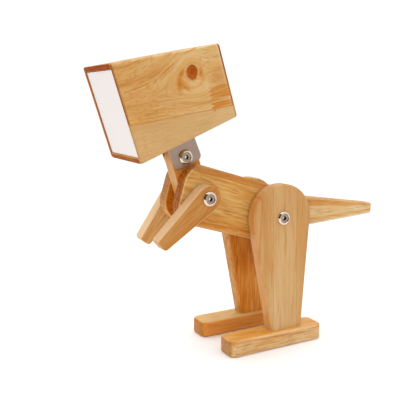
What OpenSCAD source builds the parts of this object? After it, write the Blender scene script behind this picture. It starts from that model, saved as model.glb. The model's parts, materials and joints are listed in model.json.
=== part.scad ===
// Posable wooden dinosaur table lamp, facing -X and standing on z = 0.
// Lengths are in millimetres and angles in degrees. The dinosaur's left side is at -Y.

/* [Boards] */
// Thickness of the torso, limb, neck and tail boards
board_t = 15; // [12:0.5:18]
// Thickness of the boards of the head box
panel_t = 5; // [4:0.5:6]

/* [Torso] */
// Distance of the hip bolt behind the origin
hip_x = 15.9; // [0:0.5:30]
// Height of the hip bolt above the table
hip_z = 138.6; // [125:0.2:155]
// Distance from the shoulder bolt to the hip bolt
bolt_span = 90.7; // [84:0.1:110]
// Rise of the torso from the hip to the shoulder
torso_pitch = 17.1; // [10:0.1:25]
// Height of the torso boards
torso_h = 60; // [54:1:66]
// Reach of the torso in front of the shoulder bolt
chest_reach = 22.7; // [20:0.1:28]
// Radius of the two corners of the chest
chest_r = 20; // [10:0.5:22]
// Leg of the 45 degree chamfer along the outer top edges
chamfer = 7.3; // [3:0.1:10]

/* [Neck] */
// Distance from the shoulder bolt to the head bolt
neck_len = 39.8; // [38:0.1:60]
// Lean of the neck from upright towards the front
neck_lean = 16.2; // [0:0.1:25]
// Width of the neck bar
neck_w = 31; // [26:0.5:33]

/* [Arms] */
// Radius of the arm's round shoulder end
arm_r = 13; // [10:0.5:16]
// Length of the arm from the bolt to the tip
arm_len = 65.5; // [50:0.5:75]
// Width of the arm's tip
hand_w = 13.6; // [8:0.2:16]
// Corner radius of the arm's tip
hand_r = 3.5; // [2:0.1:3.9]
// Angle of the left arm below level
left_arm_angle = 39.5; // [30:0.5:60]
// Angle of the right arm below level
right_arm_angle = 50.5; // [30:0.5:60]

/* [Legs and feet] */
// Radius of the leg's round top
leg_r = 35; // [32:0.5:38]
// Width of the leg where it stands on the foot
ankle_w = 38.5; // [32:0.5:46]
// Distance of the ankle's middle behind the hip bolt
ankle_shift = 7.4; // [0:0.2:12]
// Length of the foot
foot_len = 115; // [105:0.5:140]
// Width of the foot
foot_w = 27; // [24:0.5:32]
// Height of the foot
foot_h = 17.5; // [14:0.5:22]
// Radius of the foot's corners in plan
foot_r = 7; // [3:0.5:11]
// Distance of the foot's middle ahead of the hip bolt
foot_shift = 7; // [0:0.2:16]

/* [Tail] */
// Radius of the tail's round root
tail_r = 22; // [18:0.5:26]
// Length of the tail from the bolt to the tip
tail_len = 150.6; // [120:0.2:170]
// Height of the tail's tip
tail_tip_w = 13; // [10:0.5:18]
// Droop of the tail below level
tail_droop = 2.8; // [0:0.2:10]

/* [Head] */
// Length of the head box
head_len = 107; // [95:1:125]
// Width of the head box
head_w = 79.5; // [70:0.5:90]
// Height of the head box at its open front
front_h = 91; // [84:1:100]
// Height of the head box at its rear
rear_h = 70; // [64:1:78]
// Tilt of the head box, nose down
head_tilt = 16.9; // [0:0.1:25]
// Distance of the head bolt behind the middle of the box
pivot_offset = 2.8; // [-6:0.1:6]
// Distance from the head bolt to the underside of the box
pivot_drop = 20.6; // [20:0.1:30]

/* [Light] */
// Setback of the diffuser from the front edge
lens_inset = 1.2; // [0.5:0.1:4]
// Thickness of the diffuser
lens_t = 3; // [2:0.5:4]
// Gap round the diffuser
lens_gap = 0.2; // [0.1:0.05:0.4]
// Side of the square wooden strips inside the box
cleat = 6; // [5:0.5:8]
// Gap for the wires between the current regulator and the switch
wire_gap = 3; // [2:0.5:8]
// Thickness of the light board
led_plate_t = 1.6; // [1:0.1:2]
// Clear border between the light board and the box
led_border = 1; // [0.5:0.5:3]
// Rows and columns of light chips
led_rows = 4; // [2:1:5]
// Spacing of the light chips
led_pitch = 12; // [8:1:13]
// Side of a light chip
chip_w = 3.5; // [2:0.5:5]
// Thickness of a light chip
chip_t = 0.8; // [0.5:0.1:1.2]
// Width of the current regulator
driver_w = 40; // [30:1:46]
// Height of the current regulator
driver_h = 28; // [20:1:34]
// Depth of the current regulator
driver_d = 11; // [8:1:12]

/* [Bracket] */
// Thickness of the bracket's steel
bracket_t = 2; // [1.5:0.25:2.5]
// Length of the bracket along the head
bracket_len = 30.7; // [28:0.1:36]
// Distance of the bracket's middle behind the head bolt
ear_shift = 1; // [0:0.1:2]
// Reach of the ears below the head bolt
ear_drop = 8.6; // [8:0.1:12]
// Radius of the ears' lower corners
ear_r = 5; // [2:0.5:7]
// Outer radius of the bracket's two folds
fold_r = 3; // [2.6:0.1:4]
// Distance between the bracket's two screws
bracket_screw_span = 16; // [12:1:18]

/* [Switch and socket] */
// Height of the switch above the rear board's middle
switch_up = 13; // [10:0.5:16]
// Diameter of the switch's threaded bush
bush_d = 12; // [10:0.5:13]
// Diameter of the push button
button_d = 8; // [6:0.2:8.4]
// Height of the button above its rim when released
button_out = 3.5; // [3:0.1:5]
// Travel of the button
button_travel = 2.5; // [1:0.1:2.8]
// Distance of the socket below the rear board's middle
socket_down = 16; // [14:0.5:18]
// Diameter of the socket's threaded bush
socket_d = 8; // [7.5:0.1:9]
// Bore of the socket
socket_bore = 5.6; // [5:0.1:6]
// Diameter of the pin in the socket
socket_pin_d = 2.1; // [1.6:0.1:2.5]

/* [Bolts and fits] */
// Diameter of the bolts' smooth sleeves
sleeve_d = 8; // [7:0.5:9]
// Diameter of the screws that close the sleeves
bolt_screw_d = 5; // [4:0.5:5.5]
// Length of the screws that close the sleeves
bolt_screw_len = 16; // [12:1:18]
// Diameter of the bolts' heads
bolt_head_d = 14.4; // [13:0.2:16]
// Height of the bolts' heads
bolt_head_h = 2.4; // [2:0.1:3]
// Width across flats of the hexagon sockets
hex_w = 4.6; // [4:0.2:5]
// Thickness of the slip washers
washer_t = 0.4; // [0.3:0.1:1]
// Diameter of the slip washers
washer_d = 18; // [15:0.5:20]
// Clearance on each side of a sliding face
slip = 0.05; // [0.02:0.01:0.1]
// Clearance on the radius of a pin in its hole
fit = 0.05; // [0.02:0.01:0.1]
// Clearance round the swinging ends of the neck and tail
swing_gap = 1; // [0.5:0.1:2]
// Diameter of the torso's dowels
dowel_d = 8; // [6:0.5:10]
// Depth of a dowel in each torso board
dowel_depth = 9; // [6:0.5:10]
// Diameter of the foot screws
foot_screw_d = 4.5; // [4:0.5:5]
// Reach of the foot screws into the leg
foot_screw_reach = 30; // [20:1:40]
// Distance between the two screws of a foot
foot_screw_span = 20; // [14:1:22]

/* [Hidden] */
$fn = 96;

both_sides = [-1, 1];
left = both_sides[0];
right = both_sides[1];

// Layers across the body, from the middle outwards
joint_gap = washer_t + 2 * slip;
core_t = board_t + 2 * joint_gap;
cheek_in = core_t / 2;
cheek_out = cheek_in + board_t;
limb_in = cheek_out + joint_gap;
limb_mid = limb_in + board_t / 2;
limb_out = limb_in + board_t;
ear_in = core_t / 2;
ear_out = ear_in + bracket_t;

// Bolt places in the XZ plane
hip = [hip_x, hip_z];
shoulder = hip + bolt_span * [-cos(torso_pitch), sin(torso_pitch)];
head_pivot = shoulder + neck_len * [-sin(neck_lean), cos(neck_lean)];
neck_r = neck_w / 2;

// Torso core between the swinging ends of the neck and the tail
core_front = neck_r + swing_gap;
core_rear = bolt_span - tail_r - swing_gap;
dowel_wall = 5;
dowel_edge = dowel_d / 2 + dowel_wall;
dowel_spots = [
  [core_front + dowel_edge, torso_h / 4],
  [core_front + dowel_edge, -torso_h / 4],
  [core_rear - dowel_edge, 0]
];
dowel_bottom_gap = 0.5;
dowel_hole_end = cheek_in + dowel_depth + dowel_bottom_gap;

// Legs and feet
ankle_z = foot_h - hip_z;
ankle_x = hip_x + ankle_shift;
foot_x = hip_x - foot_shift;
foot_screw_head_d = 2 * foot_screw_d;
foot_screw_head_h = foot_screw_d / 2;
foot_screw_sink = 1;

// Head box: heights run from the axis through the middle of the box, lengths from its front
head_taper = atan((front_h - rear_h) / 2 / head_len);
panel_rise = panel_t / cos(head_taper);
pivot_back = head_len / 2 + pivot_offset;
axis_up = pivot_drop / cos(head_taper) + front_h / 2 - pivot_back * tan(head_taper);
inner_w = head_w - 2 * panel_t;
rear_in = head_len - panel_t;
cleat_gap = 1;

// Bracket screws and nuts
bracket_screw_d = 4;
bracket_screw_head_d = 7.6;
bracket_nut_w = 7;
bracket_nut_h = 3.2;
bracket_screw_tip = 1;

// Switch
rim_lip = 2;
rim_d = bush_d + 2 * rim_lip;
rim_h = 1.8;
bush_behind = 6;
bush_len = panel_t + bush_behind;
block_lip = 0.5;
switch_block_w = bush_d + 2 * block_lip;
switch_block_d = 4;
nut_wall = 1.5;
switch_nut_w = bush_d + 2 * nut_wall;
switch_nut_h = 2;
button_in = 4.5;
button_floor_gap = 0.5;
button_floor = button_in + button_travel + button_floor_gap;

// Light board, ahead of the current regulator and the switch
led_mid = head_len - bush_len - switch_block_d - wire_gap - driver_d;
led_back = led_mid - led_plate_t;
led_screw_d = 2.9;
led_screw_head_d = 5.4;
led_screw_head_h = 1.6;
led_screw_skin = 1;
led_screw_reach = cleat - led_screw_skin;

// Socket
socket_lip = 1.5;
socket_rim_d = socket_d + 2 * socket_lip;
socket_rim_h = 1.5;
socket_behind = 8;
socket_len = panel_t + socket_behind;
socket_floor = 2;
socket_nut_w = socket_d + 2 * nut_wall;
socket_nut_h = 2;
socket_pin_set = 1;

// Bolt head details
head_rim = 1.9;
head_dish = 0.7;
hex_depth = 1.2;
screw_end_gap = 1;

wood = [0.84, 0.64, 0.40];
end_wood = [0.78, 0.56, 0.34];
steel = [0.72, 0.70, 0.68];
opal = [0.96, 0.95, 0.93];
nylon = [0.90, 0.89, 0.86];
dark = [0.12, 0.12, 0.13];
chip_yellow = [0.95, 0.85, 0.45];

// Half heights of the head box, outside and inside, at a length from its front
function half_out(u) = front_h / 2 - u * tan(head_taper);
function half_in(u) = half_out(u) - panel_rise;

// Direction of the outside tangent from a circle at the origin to a smaller circle at a point
function tangent_angle(r, p, p_r, side) = atan2(p.y, p.x) + side * acos((r - p_r) / norm(p));
function polar(r, angle) = r * [cos(angle), sin(angle)];

// A board whose outline is drawn in X and Z, from y_in outwards on one side of the body
module board(side, y_in, t) {
  y_far = side > 0 ? y_in + t : -y_in;
  translate([0, y_far, 0])
    rotate([90, 0, 0])
      linear_extrude(t) children();
}

module middle_board(t) {
  board(right, -t / 2, t) children();
}

// Moves what is drawn round a bolt to that bolt's place
module at_bolt(place) {
  translate([place.x, 0, place.y]) children();
}

// A hole or a pin across the body, between two distances from the middle plane
module across(d, y_from, y_to) {
  translate([0, y_from, 0])
    rotate([-90, 0, 0])
      cylinder(d = d, h = y_to - y_from);
}

module through_hole(d) {
  across(d + 2 * fit, -head_w, head_w);
}

// Rounded rectangle about the origin
module round_rect(size, r) {
  square([size.x, size.y - 2 * r], center = true);
  square([size.x - 2 * r, size.y], center = true);
  for (sx = both_sides, sy = both_sides)
    translate([sx * (size.x / 2 - r), sy * (size.y / 2 - r)])
      circle(r);
}

// Outline that is round about the origin and runs straight to a low and a high corner
module flared_outline(r, low, high) {
  circle(r);
  polygon([
    polar(r, tangent_angle(r, low, 0, -1)), low,
    high, polar(r, tangent_angle(r, high, 0, 1))
  ]);
}

// Torso frame: origin at the shoulder bolt, X running back to the hip bolt
module in_torso() {
  at_bolt(shoulder)
    rotate([0, torso_pitch, 0])
      children();
}

module cheek_outline() {
  straight = bolt_span + chest_reach - chest_r;
  translate([chest_r - chest_reach, -torso_h / 2])
    square([straight, torso_h]);
  translate([-chest_reach, chest_r - torso_h / 2])
    square([chest_r, torso_h - 2 * chest_r]);
  for (side = both_sides)
    translate([chest_r - chest_reach, side * (torso_h / 2 - chest_r)])
      circle(chest_r);
  translate([bolt_span, 0])
    circle(torso_h / 2);
}

module cheek(side) {
  cut_w = chamfer * sqrt(2);
  cut_len = 2 * (bolt_span + torso_h);
  color(wood)
    in_torso()
      difference() {
        board(side, cheek_in, board_t) cheek_outline();
        translate([bolt_span / 2, side * cheek_out, torso_h / 2])
          rotate([45, 0, 0])
            cube([cut_len, cut_w, cut_w], center = true);
        through_hole(sleeve_d);
        translate([bolt_span, 0, 0])
          through_hole(sleeve_d);
        for (spot = dowel_spots)
          translate([spot.x, 0, spot.y])
            across(dowel_d + 2 * fit, -dowel_hole_end, dowel_hole_end);
      }
}

module left_cheek() {
  cheek(left);
}

module right_cheek() {
  cheek(right);
}

module torso_core() {
  color(wood)
    in_torso()
      difference() {
        middle_board(core_t)
          translate([core_front, -torso_h / 2])
            square([core_rear - core_front, torso_h]);
        for (spot = dowel_spots)
          translate([spot.x, 0, spot.y])
            across(dowel_d + 2 * fit, -core_t, core_t);
      }
}

module torso_dowels() {
  reach = cheek_in + dowel_depth;
  color(end_wood)
    in_torso()
      for (spot = dowel_spots)
        translate([spot.x, 0, spot.y])
          across(dowel_d, -reach, reach);
}

// Dished bolt head with a hexagon socket, standing on z = 0
module bolt_head() {
  rim_r = head_rim / 2;
  rim_mid = [bolt_head_d / 2 - rim_r, bolt_head_h - rim_r];
  floor_h = bolt_head_h - head_dish;
  difference() {
    rotate_extrude() {
      square([bolt_head_d / 2, rim_mid.y]);
      square([rim_mid.x, floor_h]);
      translate(rim_mid) circle(rim_r);
    }
    translate([0, 0, floor_h - hex_depth])
      cylinder(d = hex_w / cos(30), h = bolt_head_h, $fn = 6);
  }
}

// Half of a bolt with the smooth sleeve, its head outside the right-hand face
module sleeve_half(face) {
  head_y = face + slip;
  color(steel)
    difference() {
      union() {
        translate([0, head_y, 0])
          rotate([-90, 0, 0])
            bolt_head();
        across(sleeve_d, -face, head_y);
      }
      across(bolt_screw_d + 2 * fit, -face - slip, screw_end_gap + bolt_screw_len - face);
    }
}

// Half of a bolt with the screw, its head outside the left-hand face
module screw_half(face) {
  head_y = face + slip;
  color(steel) {
    translate([0, -head_y, 0])
      rotate([90, 0, 0])
        bolt_head();
    across(bolt_screw_d, -head_y, bolt_screw_len - face);
  }
}

module shoulder_sleeve() {
  at_bolt(shoulder) sleeve_half(limb_out);
}

module shoulder_screw() {
  at_bolt(shoulder) screw_half(limb_out);
}

module hip_sleeve() {
  at_bolt(hip) sleeve_half(limb_out);
}

module hip_screw() {
  at_bolt(hip) screw_half(limb_out);
}

module head_sleeve() {
  at_bolt(head_pivot) sleeve_half(ear_out);
}

module head_screw() {
  at_bolt(head_pivot) screw_half(ear_out);
}

// A washer on each side of the body, a slip clearance outside the given distance
module washer_pair(y_in) {
  color(nylon)
    for (side = both_sides)
      difference() {
        board(side, y_in + slip, washer_t) circle(d = washer_d);
        through_hole(sleeve_d);
      }
}

module neck_washers() {
  at_bolt(shoulder) washer_pair(board_t / 2);
}

module arm_washers() {
  at_bolt(shoulder) washer_pair(cheek_out);
}

module tail_washers() {
  at_bolt(hip) washer_pair(board_t / 2);
}

module leg_washers() {
  at_bolt(hip) washer_pair(cheek_out);
}

module ear_washers() {
  at_bolt(head_pivot) washer_pair(board_t / 2);
}

// Arm along X from the bolt, round there and tapering to a tip with two round corners
module arm_outline() {
  corner = [arm_len - hand_r, hand_w / 2 - hand_r];
  lean = tangent_angle(arm_r, corner, hand_r, 1);
  root = polar(arm_r, lean);
  wrist = corner + polar(hand_r, lean);
  circle(arm_r);
  polygon([
    [root.x, -root.y], [wrist.x, -wrist.y], [arm_len, -corner.y],
    [arm_len, corner.y], wrist, root
  ]);
  for (side = both_sides)
    translate([corner.x, side * corner.y])
      circle(hand_r);
}

module arm(side, angle) {
  color(wood)
    at_bolt(shoulder)
      difference() {
        board(side, limb_in, board_t)
          rotate(180 + angle)
            arm_outline();
        through_hole(sleeve_d);
      }
}

module left_arm() {
  arm(left, left_arm_angle);
}

module right_arm() {
  arm(right, right_arm_angle);
}

module leg_outline() {
  toe_end = [ankle_shift - ankle_w / 2, ankle_z];
  heel_end = [ankle_shift + ankle_w / 2, ankle_z];
  flared_outline(leg_r, toe_end, heel_end);
}

// Places of the two screws that hold a foot to its leg
module at_foot_screws(side) {
  for (end = both_sides)
    translate([ankle_x + end * foot_screw_span / 2, side * limb_mid, 0])
      children();
}

module foot_screw(gap) {
  top = foot_h + foot_screw_reach;
  translate([0, 0, foot_screw_sink]) {
    cylinder(d = foot_screw_d + 2 * gap, h = top - foot_screw_sink + gap);
    cylinder(d1 = foot_screw_head_d + 2 * gap, d2 = foot_screw_d + 2 * gap, h = foot_screw_head_h);
  }
}

module leg(side) {
  color(wood)
    difference() {
      at_bolt(hip)
        difference() {
          board(side, limb_in, board_t) leg_outline();
          through_hole(sleeve_d);
        }
      at_foot_screws(side) foot_screw(fit);
    }
}

module left_leg() {
  leg(left);
}

module right_leg() {
  leg(right);
}

module foot(side) {
  color(wood)
    difference() {
      translate([foot_x, side * limb_mid, 0])
        linear_extrude(foot_h)
          round_rect([foot_len, foot_w], foot_r);
      at_foot_screws(side) {
        foot_screw(fit);
        cylinder(d = foot_screw_head_d + 2 * fit, h = foot_screw_sink);
      }
    }
}

module left_foot() {
  foot(left);
}

module right_foot() {
  foot(right);
}

module left_foot_screws() {
  color(steel)
    at_foot_screws(left) foot_screw(0);
}

module right_foot_screws() {
  color(steel)
    at_foot_screws(right) foot_screw(0);
}

module tail() {
  color(wood)
    at_bolt(hip)
      difference() {
        middle_board(board_t)
          rotate(-tail_droop)
            flared_outline(tail_r, [tail_len, -tail_tip_w / 2], [tail_len, tail_tip_w / 2]);
        through_hole(sleeve_d);
      }
}

module neck() {
  color(wood)
    difference() {
      at_bolt(shoulder)
        middle_board(board_t)
          rotate(90 + neck_lean) {
            circle(neck_r);
            translate([0, -neck_r])
              square([neck_len, neck_w]);
            translate([neck_len, 0])
              circle(neck_r);
          }
      at_bolt(shoulder) through_hole(sleeve_d);
      at_bolt(head_pivot) through_hole(sleeve_d);
    }
}

// Head frame: origin in the middle of the box's open front, X running back along its axis
module in_head() {
  at_bolt(head_pivot)
    rotate([0, -head_tilt, 0])
      translate([-pivot_back, 0, axis_up])
        children();
}

// Bracket frame: origin at the head bolt, Z square to the underside of the box
module in_bracket() {
  at_bolt(head_pivot)
    rotate([0, -head_tilt - head_taper, 0])
      children();
}

module at_bracket_screws() {
  for (end = both_sides)
    translate([ear_shift + end * bracket_screw_span / 2, 0, 0])
      children();
}

// Countersunk screw up through the bracket and the bottom of the box
module bracket_screw(gap) {
  base = pivot_drop - bracket_t;
  tip = pivot_drop + panel_t + bracket_nut_h + bracket_screw_tip;
  translate([0, 0, base]) {
    cylinder(d = bracket_screw_d + 2 * gap, h = tip - base + gap);
    cylinder(d1 = bracket_screw_head_d + 2 * gap, d2 = bracket_screw_d + 2 * gap, h = bracket_t);
  }
}

// Section of the bracket across the body, with rounded folds at the top
module bracket_section() {
  difference() {
    union() {
      translate([-ear_out, -ear_drop])
        square([2 * ear_out, ear_drop + pivot_drop - fold_r]);
      translate([fold_r - ear_out, pivot_drop - 2 * fold_r])
        square([2 * (ear_out - fold_r), 2 * fold_r]);
      for (side = both_sides)
        translate([side * (ear_out - fold_r), pivot_drop - fold_r])
          circle(fold_r);
    }
    translate([-ear_in, -2 * ear_drop])
      square([2 * ear_in, 2 * ear_drop + pivot_drop - bracket_t]);
  }
}

// Outline of the bracket seen from the side, with rounded lower corners
module ear_outline() {
  full_h = 2 * (ear_drop + pivot_drop);
  translate([ear_shift, full_h / 2 - ear_drop])
    round_rect([bracket_len, full_h], ear_r);
}

module neck_bracket() {
  color(steel)
    in_bracket()
      difference() {
        intersection() {
          translate([ear_shift - bracket_len / 2, 0, 0])
            rotate([90, 0, 90])
              linear_extrude(bracket_len) bracket_section();
          middle_board(2 * ear_out) ear_outline();
        }
        through_hole(sleeve_d);
        at_bracket_screws() bracket_screw(fit);
      }
}

module bracket_screws() {
  color(steel)
    in_bracket()
      at_bracket_screws() bracket_screw(0);
}

module bracket_nuts() {
  color(steel)
    in_bracket()
      at_bracket_screws()
        translate([0, 0, pivot_drop + panel_t])
          hex_nut(bracket_nut_w, bracket_nut_h, bracket_screw_d);
}

// Hexagon nut standing on z = 0
module hex_nut(flats, h, bore) {
  difference() {
    cylinder(d = flats / cos(30), h = h, $fn = 6);
    translate([0, 0, -h])
      cylinder(d = bore + 2 * fit, h = 3 * h);
  }
}

module head_side(side) {
  color(wood)
    in_head()
      board(side, inner_w / 2, panel_t)
        polygon([
          [0, -half_out(0)], [head_len, -half_out(head_len)],
          [head_len, half_out(head_len)], [0, half_out(0)]
        ]);
}

module head_left_side() {
  head_side(left);
}

module head_right_side() {
  head_side(right);
}

// Top or bottom board of the box, from the front edge to the rear edge
module head_cover(up) {
  middle_board(inner_w)
    polygon([
      [0, up * half_in(0)], [head_len, up * half_in(head_len)],
      [head_len, up * half_out(head_len)], [0, up * half_out(0)]
    ]);
}

module head_top() {
  color(wood)
    in_head() head_cover(1);
}

module head_bottom() {
  color(wood)
    difference() {
      in_head() head_cover(-1);
      in_bracket()
        at_bracket_screws() bracket_screw(fit);
    }
}

// Drawing on the outer face of the rear board, Z running outwards
module on_rear(up) {
  translate([head_len, 0, up])
    rotate([0, 90, 0])
      children();
}

module head_rear() {
  color(wood)
    in_head()
      difference() {
        middle_board(inner_w)
          polygon([
            [rear_in, -half_in(rear_in)], [head_len, -half_in(head_len)],
            [head_len, half_in(head_len)], [rear_in, half_in(rear_in)]
          ]);
        on_rear(switch_up)
          translate([0, 0, -2 * panel_t])
            cylinder(d = bush_d + 2 * fit, h = 3 * panel_t);
        on_rear(-socket_down)
          translate([0, 0, -2 * panel_t])
            cylinder(d = socket_d + 2 * fit, h = 3 * panel_t);
      }
}

// Flat plate across the inside of the box, clear of it by a border
module cross_plate(front, t, border) {
  h = 2 * (half_in(front + t) - border);
  translate([front, border - inner_w / 2, -h / 2])
    cube([t, inner_w - 2 * border, h]);
}

module diffuser() {
  color(opal)
    in_head() cross_plate(lens_inset, lens_t, lens_gap);
}

// Upright wooden strips on the inner faces of the two sides
module cleat_pair(front) {
  h = 2 * (half_in(front + cleat) - cleat_gap);
  for (side = both_sides)
    translate([front + cleat / 2, side * (inner_w - cleat) / 2, 0])
      cube([cleat, cleat, h], center = true);
}

module diffuser_cleats() {
  color(wood)
    in_head() cleat_pair(lens_inset + lens_t);
}

module at_led_screws() {
  screw_up = half_in(led_mid + cleat) - 2 * cleat;
  for (side = both_sides, up = both_sides)
    translate([led_back, side * (inner_w - cleat) / 2, up * screw_up])
      rotate([0, 90, 0])
        children();
}

module led_screw(gap) {
  cylinder(d = led_screw_d + 2 * gap, h = led_plate_t + led_screw_reach + gap);
}

module led_cleats() {
  color(wood)
    in_head()
      difference() {
        cleat_pair(led_mid);
        at_led_screws() led_screw(fit);
      }
}

module led_plate() {
  color(nylon)
    in_head()
      difference() {
        cross_plate(led_back, led_plate_t, led_border);
        at_led_screws()
          translate([0, 0, -led_plate_t])
            cylinder(d = led_screw_d + 2 * fit, h = 3 * led_plate_t);
      }
}

module led_chips() {
  first = -led_pitch * (led_rows - 1) / 2;
  color(chip_yellow)
    in_head()
      for (row = [0 : led_rows - 1], column = [0 : led_rows - 1])
        translate([led_back - chip_t / 2, first + column * led_pitch, first + row * led_pitch])
          cube([chip_t, chip_w, chip_w], center = true);
}

module led_screws() {
  color(steel)
    in_head()
      at_led_screws() {
        led_screw(0);
        translate([0, 0, -led_screw_head_h])
          cylinder(d = led_screw_head_d, h = led_screw_head_h);
      }
}

module led_driver() {
  color(opal)
    in_head()
      translate([led_mid, -driver_w / 2, -driver_h / 2])
        cube([driver_d, driver_w, driver_h]);
}

module switch_body() {
  color(steel)
    in_head()
      on_rear(switch_up)
        difference() {
          union() {
            cylinder(d = rim_d, h = rim_h);
            translate([0, 0, -bush_len])
              cylinder(d = bush_d, h = bush_len);
            translate([0, 0, -bush_len - switch_block_d / 2])
              cube([switch_block_w, switch_block_w, switch_block_d], center = true);
          }
          translate([0, 0, rim_h - button_floor])
            cylinder(d = button_d + 2 * fit, h = 2 * button_floor);
        }
}

module switch_nut() {
  color(steel)
    in_head()
      on_rear(switch_up)
        translate([0, 0, -panel_t - switch_nut_h])
          hex_nut(switch_nut_w, switch_nut_h, bush_d);
}

module switch_button() {
  color(dark)
    in_head()
      on_rear(switch_up)
        translate([0, 0, rim_h - button_in])
          cylinder(d = button_d, h = button_in + button_out);
}

module power_socket() {
  color(dark)
    in_head()
      on_rear(-socket_down)
        difference() {
          union() {
            cylinder(d = socket_rim_d, h = socket_rim_h);
            translate([0, 0, -socket_len])
              cylinder(d = socket_d, h = socket_len);
          }
          translate([0, 0, socket_floor - socket_len])
            cylinder(d = socket_bore, h = 2 * socket_len);
        }
}

module socket_pin() {
  color(steel)
    in_head()
      on_rear(-socket_down)
        translate([0, 0, socket_floor - socket_len])
          cylinder(d = socket_pin_d, h = socket_len - socket_floor - socket_pin_set);
}

module socket_nut() {
  color(steel)
    in_head()
      on_rear(-socket_down)
        translate([0, 0, -panel_t - socket_nut_h])
          hex_nut(socket_nut_w, socket_nut_h, socket_d);
}

left_cheek();
right_cheek();
torso_core();
torso_dowels();
shoulder_sleeve();
shoulder_screw();
hip_sleeve();
hip_screw();
neck_washers();
arm_washers();
tail_washers();
leg_washers();
left_arm();
right_arm();
left_leg();
right_leg();
left_foot();
right_foot();
left_foot_screws();
right_foot_screws();
tail();
neck();
head_sleeve();
head_screw();
ear_washers();
neck_bracket();
bracket_screws();
bracket_nuts();
head_left_side();
head_right_side();
head_top();
head_bottom();
head_rear();
diffuser();
diffuser_cleats();
led_cleats();
led_plate();
led_chips();
led_screws();
led_driver();
switch_body();
switch_nut();
switch_button();
power_socket();
socket_pin();
socket_nut();
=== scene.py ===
import json
import math
import bpy
import bmesh
from mathutils import Matrix, Vector


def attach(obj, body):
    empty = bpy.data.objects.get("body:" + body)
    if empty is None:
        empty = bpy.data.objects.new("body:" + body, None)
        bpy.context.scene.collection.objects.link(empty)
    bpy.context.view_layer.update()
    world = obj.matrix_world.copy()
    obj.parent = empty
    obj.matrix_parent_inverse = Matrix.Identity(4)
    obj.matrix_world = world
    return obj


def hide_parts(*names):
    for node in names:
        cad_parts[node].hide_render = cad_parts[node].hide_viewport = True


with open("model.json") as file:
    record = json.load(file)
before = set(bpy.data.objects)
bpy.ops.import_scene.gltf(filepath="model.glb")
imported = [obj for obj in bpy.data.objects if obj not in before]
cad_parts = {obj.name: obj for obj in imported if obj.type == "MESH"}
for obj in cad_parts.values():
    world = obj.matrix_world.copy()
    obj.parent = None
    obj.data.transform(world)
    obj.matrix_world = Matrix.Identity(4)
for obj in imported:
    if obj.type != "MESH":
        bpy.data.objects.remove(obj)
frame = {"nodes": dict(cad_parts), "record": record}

scene = bpy.context.scene
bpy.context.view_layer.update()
print("frame loaded")

# camera at the photo's angle
cameraSettings = {
    "place": (-0.3432, -0.5365, 0.2595),
    "turn": (79.69, 0.0, -28.55),
    "lens": 52.22,
    "sensor": 36.0,
    "shift": (-0.0009, 0.0011),
}
cameraData = bpy.data.cameras.new("photoCamera")
cameraData.lens = cameraSettings["lens"]
cameraData.sensor_width = cameraSettings["sensor"]
cameraData.shift_x, cameraData.shift_y = cameraSettings["shift"]
camera = bpy.data.objects.new("photoCamera", cameraData)
camera.location = cameraSettings["place"]
camera.rotation_euler = [math.radians(angle) for angle in cameraSettings["turn"]]
scene.collection.objects.link(camera)
scene.camera = camera
scene.view_settings.view_transform = "Standard"
print("camera set")

# places (x and z) and directions that the pieces share, in metres and degrees
lamp = {
    "hip": (0.0159, 0.1386),
    "shoulder": (-0.07079, 0.16527),
    "headPivot": (-0.08189, 0.20349),
    "torsoPitch": 17.1,
    "leftArmAngle": 39.5,
    "rightArmAngle": 50.5,
    "legAngle": 91.5,
    "neckLean": 16.2,
    "tailDroop": 2.8,
    "headTilt": 16.9,
    "headTaper": 5.6,
    "limbFace": 0.0385,  # the two faces are measured from the middle plane
    "earFace": 0.010,
}


# small helpers for node trees
def addNode(tree, kind, settings, values):
    node = tree.nodes.new(kind)
    for name, value in settings.items():
        setattr(node, name, value)
    for name, value in values.items():
        if isinstance(value, bpy.types.NodeSocket):
            tree.links.new(value, node.inputs[name])
        else:
            node.inputs[name].default_value = value
    return node


def calc(tree, operation, first, second=0.0):
    return addNode(tree, "ShaderNodeMath", {"operation": operation}, {0: first, 1: second}).outputs[0]


def product(tree, first, *others):
    for other in others:
        first = calc(tree, "MULTIPLY", first, other)
    return first


def total(tree, first, *others):
    for other in others:
        first = calc(tree, "ADD", first, other)
    return first


def less(tree, first, second):
    return calc(tree, "SUBTRACT", first, second)


def absolute(tree, value):
    return calc(tree, "ABSOLUTE", value)


def length(tree, first, second):
    return calc(tree, "SQRT", total(tree, product(tree, first, first), product(tree, second, second)))


def vectorCalc(tree, operation, first, second):
    return addNode(tree, "ShaderNodeVectorMath", {"operation": operation}, {0: first, 1: second}).outputs[0]


def splitVector(tree, vector):
    return addNode(tree, "ShaderNodeSeparateXYZ", {}, {0: vector}).outputs


def joinVector(tree, x=0.0, y=0.0, z=0.0):
    return addNode(tree, "ShaderNodeCombineXYZ", {}, {"X": x, "Y": y, "Z": z}).outputs[0]


# how far a place lies along a direction in the board's plane
def alongWay(tree, vector, way):
    node = addNode(tree, "ShaderNodeVectorMath", {"operation": "DOT_PRODUCT"}, {0: vector, 1: (*way, 0.0)})
    return node.outputs["Value"]


def turnedBy(tree, vector, turn, shift=(0.0, 0.0, 0.0)):
    node = addNode(
        tree, "ShaderNodeMapping", {"vector_type": "POINT"},
        {"Vector": vector, "Rotation": turn.to_euler("XYZ"), "Location": shift},
    )
    return node.outputs[0]


# rises smoothly from 0 at the first place to 1 at the second
def ramp(tree, value, start, end):
    node = addNode(
        tree, "ShaderNodeMapRange", {"interpolation_type": "SMOOTHSTEP"},
        {"Value": value, "From Min": start, "From Max": end},
    )
    return node.outputs["Result"]


# the same the other way: 1 at the first place and 0 at the second
def fall(tree, value, start, end):
    return ramp(tree, value, end, start)


def opaque(colour):
    return colour if isinstance(colour, bpy.types.NodeSocket) else (*colour, 1.0)


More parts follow.
